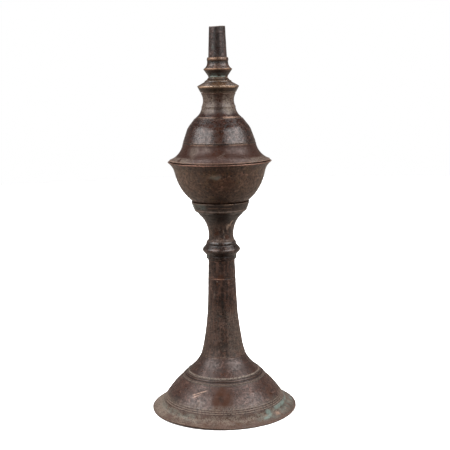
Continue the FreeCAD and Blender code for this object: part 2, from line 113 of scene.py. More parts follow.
def add_world(seen, below, level, above):
    """White all round for the camera. The metal reflects a dimmer room, which is pale below, where the
    floor sends light back up, darker overhead and darkest behind the camera."""
    world = bpy.data.worlds.new("studio")
    bpy.context.scene.world = world
    world.use_nodes = True
    nodes, links = world.node_tree.nodes, world.node_tree.links
    nodes.clear()
    place = nodes.new("ShaderNodeTexCoord")
    split = nodes.new("ShaderNodeSeparateXYZ")
    links.new(place.outputs["Generated"], split.inputs[0])
    height = nodes.new("ShaderNodeMapRange")
    height.inputs["From Min"].default_value = -1.0
    links.new(split.outputs["Z"], height.inputs["Value"])
    ramp = nodes.new("ShaderNodeValToRGB")
    ramp.color_ramp.interpolation = "EASE"
    stops = ramp.color_ramp.elements
    stops[0].position, stops[0].color = 0.36, (*below, 1)
    stops[1].position, stops[1].color = 0.80, (*above, 1)
    stops.new(0.52).color = (*level, 1)
    links.new(height.outputs["Result"], ramp.inputs["Fac"])
    path = nodes.new("ShaderNodeLightPath")
    depth = nodes.new("ShaderNodeMapRange")
    depth.inputs["From Min"].default_value = -0.75
    depth.inputs["From Max"].default_value = 0.15
    depth.inputs["To Min"].default_value = 0.12
    links.new(split.outputs["Y"], depth.inputs["Value"])
    room = nodes.new("ShaderNodeBackground")
    links.new(ramp.outputs["Color"], room.inputs["Color"])
    links.new(depth.outputs["Result"], room.inputs["Strength"])
    backdrop = nodes.new("ShaderNodeBackground")
    backdrop.inputs["Color"].default_value = (*seen, 1)
    choice = nodes.new("ShaderNodeMixShader")
    output = nodes.new("ShaderNodeOutputWorld")
    links.new(path.outputs["Is Camera Ray"], choice.inputs[0])
    links.new(room.outputs[0], choice.inputs[1])
    links.new(backdrop.outputs[0], choice.inputs[2])
    links.new(choice.outputs[0], output.inputs["Surface"])


def add_floor(radius):
    """A plain pale floor, a hair under the foot's rim."""
    inner = 0.3 * radius
    mesh = bmesh.new()
    bmesh.ops.create_circle(mesh, cap_ends=True, radius=inner, segments=96)
    rim = [edge for edge in mesh.edges if edge.is_boundary]
    for item in bmesh.ops.extrude_edge_only(mesh, edges=rim)["geom"]:
        if isinstance(item, bmesh.types.BMVert):
            item.co *= radius / inner
    data = bpy.data.meshes.new("floor")
    mesh.to_mesh(data)
    mesh.free()
    floor = bpy.data.objects.new("floor", data)
    bpy.context.collection.objects.link(floor)
    floor.location.z = -0.1 * MM
    data.materials.append(paper("floor_paper"))
    floor.visible_diffuse = False
    floor.visible_glossy = False
    floor.visible_shadow = False
    return floor


def light_floor(floor, wide, height, watts):
    """A broad light overhead that falls on the floor alone, and whitens it around the lamp's shadow."""
    only = bpy.data.collections.new("floor_only")
    only.objects.link(floor)
    light = add_softbox("floor_light", 0, 90, height, wide, wide, watts)
    light.light_linking.receiver_collection = only


# ---------------------------------------------------------------- materials

# What lies on the bronze. The soot colour also paints shade and a dark reflection, and the chalk colour also
# paints highlights.
RUST = (0.070, 0.023, 0.009)
SOOT_AND_SHADE = (0.012, 0.008, 0.006)
GRIME = (0.014, 0.010, 0.008)
CHALK_AND_HIGHLIGHT = (0.30, 0.24, 0.19)
VERDIGRIS = (0.24, 0.30, 0.265)
# What shows where it is rubbed through.
COPPER = (0.50, 0.26, 0.16)
PINK = (0.46, 0.25, 0.19)
GOLD = (0.84, 0.60, 0.43)


class Graph:
    """The nodes of one material, over the lamp's own coordinates in millimetres."""

    def __init__(self, name):
        self.material = bpy.data.materials.new(name)
        self.material.use_nodes = True
        self.nodes = self.material.node_tree.nodes
        self.links = self.material.node_tree.links
        self.nodes.clear()
        self.surface = self.nodes.new("ShaderNodeBsdfPrincipled")
        output = self.nodes.new("ShaderNodeOutputMaterial")
        self.links.new(self.surface.outputs["BSDF"], output.inputs["Surface"])
        place = self.nodes.new("ShaderNodeTexCoord")
        self.place = self.scaled(place.outputs["Object"], (1 / MM, 1 / MM, 1 / MM))

    def put(self, socket, value):
        """Join an output to a socket, or set the socket to a number or a colour."""
        if isinstance(value, bpy.types.NodeSocket):
            self.links.new(value, socket)
        elif isinstance(value, tuple) and len(socket.default_value) == 4:
            socket.default_value = (*value, 1)
        else:
            socket.default_value = value

    def scaled(self, vector, factors):
        """A vector multiplied by three numbers."""
        node = self.nodes.new("ShaderNodeVectorMath")
        node.operation = "MULTIPLY"
        self.put(node.inputs[0], vector)
        node.inputs[1].default_value = factors
        return node.outputs["Vector"]

    def noise(self, size, detail=2, rough=0.5, stretch=(1, 1, 1), shift=0.0):
        """Noise from 0 to 1 with features about `size` mm across, drawn out by `stretch`."""
        node = self.nodes.new("ShaderNodeTexNoise")
        factors = tuple(1 / (size * draw) for draw in stretch)
        moved = self.nodes.new("ShaderNodeVectorMath")
        moved.operation = "ADD"
        self.put(moved.inputs[0], self.scaled(self.place, factors))
        moved.inputs[1].default_value = (shift, 1.7 * shift, 2.3 * shift)
        self.put(node.inputs["Vector"], moved.outputs["Vector"])
        node.inputs["Scale"].default_value = 1.0
        node.inputs["Detail"].default_value = detail
        node.inputs["Roughness"].default_value = rough
        return node.outputs["Fac"]

    def rings(self, size, detail=2):
        """Noise that changes only along the outline, as a lathe tool leaves it."""
        node = self.nodes.new("ShaderNodeTexNoise")
        node.noise_dimensions = "1D"
        self.put(node.inputs["W"], self.mask("along"))
        node.inputs["Scale"].default_value = 1 / size
        node.inputs["Detail"].default_value = detail
        return node.outputs["Fac"]

    def pits(self, size, shift=0.0):
        """Distance to the nearest of a scatter of points about `size` mm apart."""
        node = self.nodes.new("ShaderNodeTexVoronoi")
        moved = self.nodes.new("ShaderNodeVectorMath")
        moved.operation = "ADD"
        self.put(moved.inputs[0], self.scaled(self.place, (1 / size, 1 / size, 1 / size)))
        moved.inputs[1].default_value = (shift, shift, shift)
        self.put(node.inputs["Vector"], moved.outputs["Vector"])
        node.inputs["Scale"].default_value = 1.0
        return node.outputs["Distance"]

    def mask(self, name):
        """A mask that was painted on the mesh."""
        node = self.nodes.new("ShaderNodeAttribute")
        node.attribute_name = name
        return node.outputs["Fac"]

    def math(self, operation, first, second=0.0):
        """One arithmetic step."""
        node = self.nodes.new("ShaderNodeMath")
        node.operation = operation
        self.put(node.inputs[0], first)
        self.put(node.inputs[1], second)
        return node.outputs[0]

    def between(self, value, low, high, at_low=0.0, at_high=1.0):
        """Smoothly from at_low to at_high as the value goes from low to high."""
        node = self.nodes.new("ShaderNodeMapRange")
        node.interpolation_type = "SMOOTHSTEP"
        self.put(node.inputs["Value"], value)
        for socket, number in (("From Min", low), ("From Max", high),
                               ("To Min", at_low), ("To Max", at_high)):
            node.inputs[socket].default_value = number
        return node.outputs["Result"]

    def blend(self, factor, first, second):
        """One colour laid over another."""
        node = self.nodes.new("ShaderNodeMix")
        node.data_type = "RGBA"
        self.put(node.inputs[0], factor)
        colours = [socket for socket in node.inputs if socket.type == "RGBA"]
        self.put(colours[0], first)
        self.put(colours[1], second)
        return next(socket for socket in node.outputs if socket.type == "RGBA")

    def finish(self, colour, roughness, metallic, bumps=()):
        """Join colour, roughness and metal to the surface, and stack the bumps: (height, depth in mm)."""
        self.put(self.surface.inputs["Base Color"], colour)
        self.put(self.surface.inputs["Roughness"], roughness)
        self.put(self.surface.inputs["Metallic"], metallic)
        normal = None
        for height, depth in bumps:
            node = self.nodes.new("ShaderNodeBump")
            node.inputs["Strength"].default_value = 1.0
            node.inputs["Distance"].default_value = depth * MM
            self.put(node.inputs["Height"], height)
            if normal:
                self.links.new(normal, node.inputs["Normal"])
            normal = node.outputs["Normal"]
        if normal:
            self.links.new(normal, self.surface.inputs["Normal"])
        return self.material


def shade(colour, factor, lift=0.0):
    """A colour made darker or lighter by a factor, and paler by `lift`."""
    return tuple(factor * part + lift for part in colour)


def bronze_noises(graph, seed):
    """The noises that a bronze's colour, gloss and relief share, from the coarsest to the finest. "drawn"
    runs up the piece like file strokes, and "turned" round it like the marks of a lathe tool."""
    return {
        "broad": graph.noise(17.0, detail=3, rough=0.6, shift=3.1 + seed),
        "cloud": graph.noise(5.0, detail=5, rough=0.62, shift=7.7 + seed),
        "mottle": graph.noise(2.3, detail=5, rough=0.7, shift=9.1 + seed),
        "grain": graph.noise(1.1, detail=4, rough=0.65, shift=1.3 + seed),
        "drawn": graph.noise(1.5, detail=4, rough=0.6, stretch=(1, 1, 12), shift=5.9 + seed),
        "turned": graph.rings(0.45, detail=3),
    }


def patina(graph, noises, dark, mid, warm, streaks, flecks, seed):
    """The patina where nothing is painted on it, from clouds down to grain and tool marks."""
    mottle, grain, drawn = noises["mottle"], noises["grain"], noises["drawn"]
    large = graph.math("ADD", graph.math("MULTIPLY", noises["broad"], 0.45),
                       graph.math("MULTIPLY", noises["cloud"], 0.55))
    warmth = graph.noise(8.0, detail=4, shift=11.0 + seed)
    colour = graph.blend(graph.between(large, 0.38, 0.62), dark, mid)
    colour = graph.blend(graph.between(warmth, 0.52, 0.72, 0.0, 0.8), colour, warm)
    colour = graph.blend(graph.between(mottle, 0.52, 0.64, 0.0, 0.75), colour, shade(mid, 1.8, 0.004))
    colour = graph.blend(graph.between(mottle, 0.48, 0.35, 0.0, 0.8), colour, shade(dark, 0.4))
    colour = graph.blend(graph.between(grain, 0.54, 0.66, 0.0, flecks), colour, shade(mid, 2.3, 0.03))
    colour = graph.blend(graph.between(grain, 0.44, 0.30, 0.0, 0.8), colour, shade(dark, 0.35))
    colour = graph.blend(graph.between(drawn, 0.52, 0.64, 0.0, streaks), colour, shade(mid, 1.9))
    colour = graph.blend(graph.between(drawn, 0.48, 0.36, 0.0, streaks), colour, shade(dark, 0.5))
    return graph.blend(graph.between(noises["turned"], 0.6, 0.8, 0.0, 0.22), colour, shade(mid, 1.8))


def dark_spots(graph, seed):
    """Where small round spots of corrosion are, in loose groups."""
    return graph.math("MULTIPLY", graph.between(graph.pits(2.8, shift=seed + 4.0), 0.36, 0.24),
                      graph.between(graph.noise(3.0, shift=15.0 + seed), 0.42, 0.56))


def hairlines(graph, seed):
    """Where broken, wandering hairlines are: along one level of a smooth noise."""
    wander = graph.noise(10.0, detail=2, stretch=(1, 1, 0.4), shift=19.0 + seed)
    line = graph.between(graph.math("ABSOLUTE", graph.math("SUBTRACT", wander, 0.5)), 0.034, 0.012)
    return graph.math("MULTIPLY", line, graph.between(graph.noise(5.0, shift=23.0 + seed), 0.50, 0.60))


def bronze(name, dark, mid, warm, bare, gloss=(0.30, 0.46), grime=0.8, rubbed=0.6, streaks=0.0,
           flecks=0.35, relief=1.0, seed=0.0):
    """Old patinated bronze. dark, mid and warm are the patina's colours, and bare is the metal where it
    is rubbed through. gloss is the roughness where it is handled and where it is dull. grime, rubbed,
    streaks and flecks say how strongly hollows are blackened, edges are worn bright, tool marks run up
    the piece and pale specks show. relief scales the depth of its pits and grain."""
    graph = Graph(name)
    noises = bronze_noises(graph, seed)
    cloud, mottle, grain = noises["cloud"], noises["mottle"], noises["grain"]
    colour = patina(graph, noises, dark, mid, warm, streaks, flecks, seed)
    spots = dark_spots(graph, seed)
    colour = graph.blend(graph.math("MULTIPLY", spots, 0.8), colour, shade(dark, 0.3))
    colour = graph.blend(graph.math("MULTIPLY", hairlines(graph, seed), 0.55), colour, shade(mid, 2.6, 0.04))

    matt = graph.mask("matt")
    colour = graph.blend(graph.math("MULTIPLY", matt, 0.6), colour, shade(mid, 1.5, 0.003))
    rust = graph.math("MULTIPLY", graph.mask("rust"), graph.between(cloud, 0.30, 0.55))
    colour = graph.blend(rust, colour, RUST)
    # Soot, and at some places painted shade and a painted dark reflection.
    soot_and_shade = graph.math("MULTIPLY", graph.mask("soot_and_shade"), graph.between(cloud, 0.25, 0.5))
    colour = graph.blend(soot_and_shade, colour, SOOT_AND_SHADE)
    hollow = graph.math("MULTIPLY", graph.mask("hollow"), graph.between(cloud, 0.2, 0.55, 0.5, grime))
    colour = graph.blend(hollow, colour, GRIME)
    # Pale deposits, and at some places painted highlights.
    chalk_and_highlight = graph.math("MULTIPLY", graph.mask("chalk_and_highlight"), graph.between(grain, 0.32, 0.62))
    colour = graph.blend(chalk_and_highlight, colour, CHALK_AND_HIGHLIGHT)
    green = graph.math("MULTIPLY", graph.mask("verdigris"), graph.between(cloud, 0.30, 0.58))
    colour = graph.blend(green, colour, VERDIGRIS)
    crust_and_highlight = graph.math("MAXIMUM", green, chalk_and_highlight)

    worn = graph.math("MULTIPLY", graph.mask("edge"), graph.between(cloud, 0.34, 0.66, 0.15, 1.0))
    worn = graph.math("MULTIPLY", worn, rubbed)
    scraped = graph.math("MULTIPLY", graph.mask("bare"), graph.between(grain, 0.28, 0.5))
    shown = graph.math("MINIMUM", graph.math("MAXIMUM", worn, scraped), 1.0)
    colour = graph.blend(shown, colour, bare)

    dull = graph.between(cloud, 0.3, 0.7, gloss[0], gloss[1])
    dull = graph.math("ADD", dull, graph.between(grain, 0.35, 0.65, -0.04, 0.06))
    dull = graph.math("ADD", dull, graph.math("MULTIPLY", crust_and_highlight, 0.35))
    dull = graph.math("ADD", dull, graph.math("MULTIPLY", graph.math("MAXIMUM", hollow, spots), 0.12))
    dull = graph.math("ADD", dull, graph.between(mottle, 0.38, 0.60, 0.15, -0.06))
    dull = graph.math("ADD", dull, graph.math("MULTIPLY", matt, 0.08))
    metal = graph.math("SUBTRACT", graph.between(shown, 0.0, 1.0, 0.15, 0.95),
                       graph.math("MULTIPLY", crust_and_highlight, 0.15))
    graph.put(graph.surface.inputs["Specular IOR Level"], graph.between(matt, 0.0, 1.0, 0.5, 0.26))
    graph.surface.inputs["IOR"].default_value = 1.62
    pitted = graph.between(graph.pits(1.6, shift=seed), 0.05, 0.22)
    depths = ((cloud, 0.16), (mottle, 0.13), (pitted, 0.06), (grain, 0.09), (noises["turned"], 0.02),
              (noises["drawn"], 0.08 * streaks))
    bumps = [(height, relief * depth) for height, depth in depths]
    return graph.finish(colour, dull, graph.math("MAXIMUM", metal, 0.0), bumps)


def paper(name):
    """Plain pale paper, for the floor."""
    graph = Graph(name)
    fleck = graph.noise(6.0, detail=3)
    tone = graph.blend(fleck, (0.80, 0.80, 0.80), (0.84, 0.84, 0.84))
    return graph.finish(tone, graph.between(fleck, 0.3, 0.7, 0.75, 0.9), 0.0)


def iron(name):
    """Dark rusted iron."""
    graph = Graph(name)
    cloud = graph.noise(4.0, detail=5, rough=0.65)
    grain = graph.noise(0.7, detail=4, rough=0.7)
    colour = graph.blend(graph.between(cloud, 0.35, 0.65), (0.035, 0.028, 0.025), (0.085, 0.042, 0.024))
    colour = graph.blend(graph.between(grain, 0.55, 0.75), colour, (0.15, 0.06, 0.025))
    dull = graph.between(cloud, 0.3, 0.7, 0.55, 0.85)
    metal = graph.between(grain, 0.6, 0.35, 0.1, 0.7)
    return graph.finish(colour, dull, metal, ((cloud, 0.12), (grain, 0.08)))


def leather(name):
    """Oil-soaked leather, with creases and pores."""
    graph = Graph(name)
    cloud = graph.noise(3.0, detail=4)
    pores = graph.between(graph.pits(0.5), 0.05, 0.35)
    creases = graph.noise(0.8, detail=5, rough=0.7, stretch=(1, 3, 1))
    colour = graph.blend(cloud, (0.030, 0.017, 0.010), (0.095, 0.050, 0.026))
    colour = graph.blend(graph.between(pores, 1.0, 0.0, 0.0, 0.7), colour, (0.012, 0.008, 0.006))
    dull = graph.between(creases, 0.3, 0.7, 0.35, 0.6)
    return graph.finish(colour, dull, 0.0, ((pores, 0.06), (creases, 0.12)))


# ---------------------------------------------------------------- turned surfaces

def smooth_noise(points, size, seed):
    """Smooth noise from -1 to 1 at each point (mm), with features about `size` mm across."""
    cell = points / size
    base = np.floor(cell).astype(np.int64)
    part = cell - base
    part = part * part * (3 - 2 * part)
    total = np.zeros(points.shape[:-1])
    for corner in itertools.product((0, 1), repeat=3):
        weight = np.prod(np.where(corner, part, 1 - part), axis=-1)
        key = (base + corner) @ np.array([73856093, 19349663, 83492791]) + 374761393 * seed
        key = (key ^ (key >> 13)) * 1274126177 & 0xFFFFFFFF
        key = (key ^ (key >> 16)) * 2246822519 & 0xFFFFFFFF
        total += weight * ((key ^ (key >> 15)) & 0xFFFF) / 0x8000
    return total - 1


def outline_of(name):
    """A node's outline in mm: its mesh's corners on the half plane y = 0, x >= 0, as (radius, height)
    rows in the order that joins them. A flat ring has no edge across it there, so the two loose ends at
    one height are joined. It runs with the metal on its left. One that meets the axis starts at the
    bottom."""
    mesh = bmesh.new()
    mesh.from_mesh(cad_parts[name].data)
    bmesh.ops.remove_doubles(mesh, verts=mesh.verts, dist=WELD)
    seam = {vert for vert in mesh.verts if abs(vert.co.y) < WELD and vert.co.x > -WELD}
    beside = {vert: [edge.other_vert(vert) for edge in vert.link_edges if edge.other_vert(vert) in seam]
              for vert in seam}
    loose = [vert for vert in seam if len(beside[vert]) == 1 and vert.co.x > WELD]
    for vert in loose:
        level = [other for other in loose if other is not vert and abs(other.co.z - vert.co.z) < WELD]
        if level:
            beside[vert].append(min(level, key=lambda other: abs(other.co.x - vert.co.x)))
    start = min(seam, key=lambda vert: (len(beside[vert]) > 1, round(vert.co.z / WELD), vert.co.x))
    order, last = [start], None
    while True:
        onward = [vert for vert in beside[order[-1]] if vert is not last and vert is not start]
        if not onward:
            break
        last = order[-1]
        order.append(onward[0])
    rows = np.array([(vert.co.x, vert.co.z) for vert in order]) / MM
    mesh.free()
    after = np.roll(rows, -1, axis=0)
    area = np.sum(rows[:, 0] * after[:, 1] - after[:, 0] * rows[:, 1])
    return rows if area > 0 else rows[::-1]


def smooth_step(value, low, high):
    """Smoothly from 0 to 1 as the value goes from low to high, or the other way if high is below low."""
    part = np.clip((value - low) / (high - low), 0, 1)
    return part * part * (3 - 2 * part)


def soften(rows, reach, spacing):
    """Round an evenly spaced closed outline, or a closed run of numbers, over about `reach` mm."""
    for _ in range(round(2 * (reach / spacing) ** 2)):
        rows = (np.roll(rows, 1, axis=0) + 2 * rows + np.roll(rows, -1, axis=0)) / 4
    return rows


def evenly(rows, spacing):
    """A closed outline at an even spacing. Its arcs, which the mesh holds as chords, become smooth curves
    again, and a corner that turns by more than CORNER stays a corner."""
    ahead = np.roll(rows, -1, axis=0) - rows
    chord = np.linalg.norm(ahead, axis=1)
    way = ahead / chord[:, None]
    before = np.roll(way, 1, axis=0)
    corner = np.sum(way * before, axis=1) < math.cos(CORNER)
    through = ahead + np.roll(ahead, 1, axis=0)
    through /= np.linalg.norm(through, axis=1)[:, None] + 1e-12
    pieces = []
    for index, length in enumerate(chord):
        following = (index + 1) % len(rows)
        leave = way[index] if corner[index] else through[index]
        arrive = way[index] if corner[following] else through[following]
        count = max(1, round(length / spacing))
        t = np.linspace(0, 1, count, endpoint=False)[:, None]
        ends = (2 * t ** 3 - 3 * t ** 2 + 1) * rows[index] + (3 * t ** 2 - 2 * t ** 3) * rows[following]
        pull = length * ((t ** 3 - 2 * t ** 2 + t) * leave + (t ** 3 - t ** 2) * arrive)
        pieces.append(ends + pull)
    return np.concatenate(pieces)


def bends(heading):
    """How far each point of an evenly spaced outline is on an edge, and how far in a hollow, from 0 to 1."""
    reach = round(BEND_REACH / SPACING)
    turning = np.roll(heading, -reach) - np.roll(heading, reach)
    turning = (turning + math.pi) % (2 * math.pi) - math.pi
    edge = soften(smooth_step(turning, 0.25, 1.0), 0.2, SPACING)
    hollow = soften(smooth_step(-turning, 0.2, 0.8), 0.5, SPACING)
    return edge, hollow


class Skin:
    """The surface of one turned piece while it is worn: its points in mm, their normals and its masks."""

    MASKS = ("edge", "hollow", "bare", "rust", "soot_and_shade", "chalk_and_highlight", "verdigris", "matt")

    def __init__(self, node, steps, worn=0.2, step=0.7):
        """Spin the node's outline, its corners rounded over `worn` mm. Where it runs straight, its rows
        are just over `step` mm apart on the outside and twice that inside."""
        outline = outline_of(node)
        self.open = outline[-1][0] < 1e-3
        if self.open:
            outline = np.vstack([(0, outline[0][1]), outline])
        even = evenly(outline, SPACING)
        if not self.open:
            even = soften(even, worn, SPACING)
        ahead = np.roll(even, -1, axis=0) - np.roll(even, 1, axis=0)
        heading = np.unwrap(np.arctan2(ahead[:, 1], ahead[:, 0]))
        edge, hollow = bends(heading)
        self.rows = even
        outer = np.array([radius > self.reach(height) - OUTSIDE for radius, height in even])
        kept = self.thinned(heading, np.where(outer, step, 2 * step))
        self.node = node
        self.rows = even[kept]
        self.normal = np.stack([ahead[kept, 1], -ahead[kept, 0]], axis=1)
        self.normal /= np.linalg.norm(self.normal, axis=1)[:, None]
        self.outer = outer[kept]
        self.azimuth = np.linspace(0, 2 * math.pi, steps, endpoint=False)
        self.across = np.sin(self.azimuth), -np.cos(self.azimuth)
        self.points = self.spun(self.rows)
        self.normals = self.spun(self.normal)
        along = np.cumsum(np.linalg.norm(np.diff(even, axis=0, prepend=even[:1]), axis=1))[kept]
        shape = self.points.shape[:2]
        self.masks = {name: np.zeros(shape) for name in self.MASKS}
        self.masks["along"] = np.broadcast_to(along[:, None], shape).copy()
        self.masks["edge"] += edge[kept, None]
        self.masks["hollow"] += hollow[kept, None]

    def thinned(self, heading, room):
        """The rows to keep: the next one that is further than its room from the last one kept, or has
        turned by more than ROW_TURN since then."""
        last = len(self.rows) - 1
        kept = [0]
        for index in range(1, last + 1):
            gone = np.linalg.norm(self.rows[index] - self.rows[kept[-1]])
            turned = abs(heading[index] - heading[kept[-1]])
            if gone > room[index] or turned > ROW_TURN or (self.open and index == last):
                kept.append(index)
        return kept

    def spun(self, rows):
        """(radius, height) rows turned about the axis."""
        x, y = (rows[:, :1] * part for part in self.across)
        return np.stack([x, y, np.broadcast_to(rows[:, 1:], x.shape)], axis=-1)

    def reach(self, height):
        """The largest radius of the outline at a height."""
        start, end = self.rows, np.roll(self.rows, -1, axis=0)
        low, high = np.minimum(start[:, 1], end[:, 1]), np.maximum(start[:, 1], end[:, 1])
        crossing = (low <= height + 1e-9) & (high >= height - 1e-9)
        rise = np.where(high - low < 1e-9, 1, end[:, 1] - start[:, 1])
        part = np.where(high - low < 1e-9, 0, (height - start[:, 1]) / rise)
        radius = start[:, 0] + part * (end[:, 0] - start[:, 0])
        return radius[crossing].max() if crossing.any() else 0.0

    def place(self, azimuth, height):
        """The point on the outside at an azimuth (degrees) and a height."""
        radius, turn = self.reach(height), math.radians(azimuth)
        return np.array([radius * math.sin(turn), -radius * math.cos(turn), height])

    def push(self, depth):
        """Press the surface in by a depth in mm at each point. Nothing is ever pushed out."""
        self.points -= self.normals * np.maximum(depth, 0)[..., None]

    def uneven(self, size, deep, seed):
        """Unevenness of casting and use: smooth hollows about `size` mm across, up to `deep` mm deep."""
        self.push(deep * (0.5 + 0.5 * smooth_noise(self.points, size, seed)))

    def paint(self, mask, amount):
        """Raise a mask to an amount, at most 1, on the outside only."""
        self.masks[mask] = np.clip(np.maximum(self.masks[mask], amount * self.outer[:, None]), 0, 1)

    def blotch(self, mask, azimuth, height, wide, tall, strength=1.0, deep=0.0, seed=1):
        """A ragged patch on the outside, `wide` mm round the piece and `tall` mm along its outline."""
        away = self.points - self.place(azimuth, height)
        turn = math.radians(azimuth)
        sideways = away @ np.array([math.cos(turn), math.sin(turn), 0])
        upward = np.sqrt(np.maximum(np.sum(away ** 2, axis=-1) - sideways ** 2, 0))
        far = np.hypot(sideways / (wide / 2), upward / (tall / 2))
        far += 0.45 * smooth_noise(self.points, max(wide, tall) / 4, seed) * np.minimum(far, 1)
        amount = strength * smooth_step(far, 1.15, 0.45)
        self.paint(mask, amount)
        self.push(deep * amount * self.outer[:, None])

    def stroke(self, mask, start, end, width, strength=1.0, deep=0.0, seed=1):
        """A scratch between two (azimuth, height) places on the outside."""
        first, last = self.place(*start), self.place(*end)
        run = last - first
        part = np.clip((self.points - first) @ run / (run @ run), 0, 1)
        far = np.linalg.norm(self.points - first - part[..., None] * run, axis=-1) / (width / 2)
        far += 0.35 * smooth_noise(self.points, 1.5, seed)
        amount = strength * smooth_step(far, 1.3, 0.5)
        self.paint(mask, amount)
        self.push(deep * amount * self.outer[:, None])

    def band(self, mask, low, high, strength=1.0, left=-180, right=180, fade=12, broken=None, seed=1):
        """A band round the outside between two heights and two azimuths. A broken one has gaps, and more
        of them the higher `broken` is, from about -1 to 1."""
        height = self.points[..., 2]
        middle, half = (low + high) / 2, (high - low) / 2
        amount = smooth_step(np.abs(height - middle), half * 1.3, half * 0.7)
        if right - left < 360:
            degrees = np.degrees(self.azimuth)
            degrees = np.where(degrees > 180, degrees - 360, degrees)
            sides = smooth_step(degrees, left - fade, left) * smooth_step(degrees, right + fade, right)
            amount = amount * sides
        if broken is not None:
            gaps = smooth_noise(self.points, 4.0, seed) + 0.6 * smooth_noise(self.points, 1.4, seed + 1)
            amount = amount * smooth_step(gaps, broken - 1.0, broken)
        self.paint(mask, strength * amount)

    def build(self, name, body, material):
        """Make the object, which stands for its CAD node and moves with its body."""
        count, steps = self.points.shape[:2]
        rows = count - 1 if self.open else count
        row, step = np.meshgrid(np.arange(rows), np.arange(steps), indexing="ij")
        above, beside = (row + 1) % count, (step + 1) % steps
        quads = np.stack([row * steps + step, row * steps + beside,
                          above * steps + beside, above * steps + step], axis=-1).reshape(-1, 4)
        mesh = bpy.data.meshes.new(name)
        mesh.from_pydata((self.points.reshape(-1, 3) * MM).tolist(), [], quads.tolist())
        for mask, values in self.masks.items():
            layer = mesh.attributes.new(mask, "FLOAT", "POINT")
            layer.data.foreach_set("value", values.reshape(-1).astype(np.float32))
        if self.open:
            tidy = bmesh.new()
            tidy.from_mesh(mesh)
            bmesh.ops.remove_doubles(tidy, verts=tidy.verts, dist=WELD)
            tidy.to_mesh(mesh)
            tidy.free()
        mesh.polygons.foreach_set("use_smooth", [True] * len(mesh.polygons))
        mesh.materials.append(material)
        piece = bpy.data.objects.new(name, mesh)
        bpy.context.collection.objects.link(piece)
        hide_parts(self.node)
        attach(piece, body)
        return piece


# ---------------------------------------------------------------- the pieces

IRON = iron("rusted_iron")
LEATHER = leather("oiled_leather")


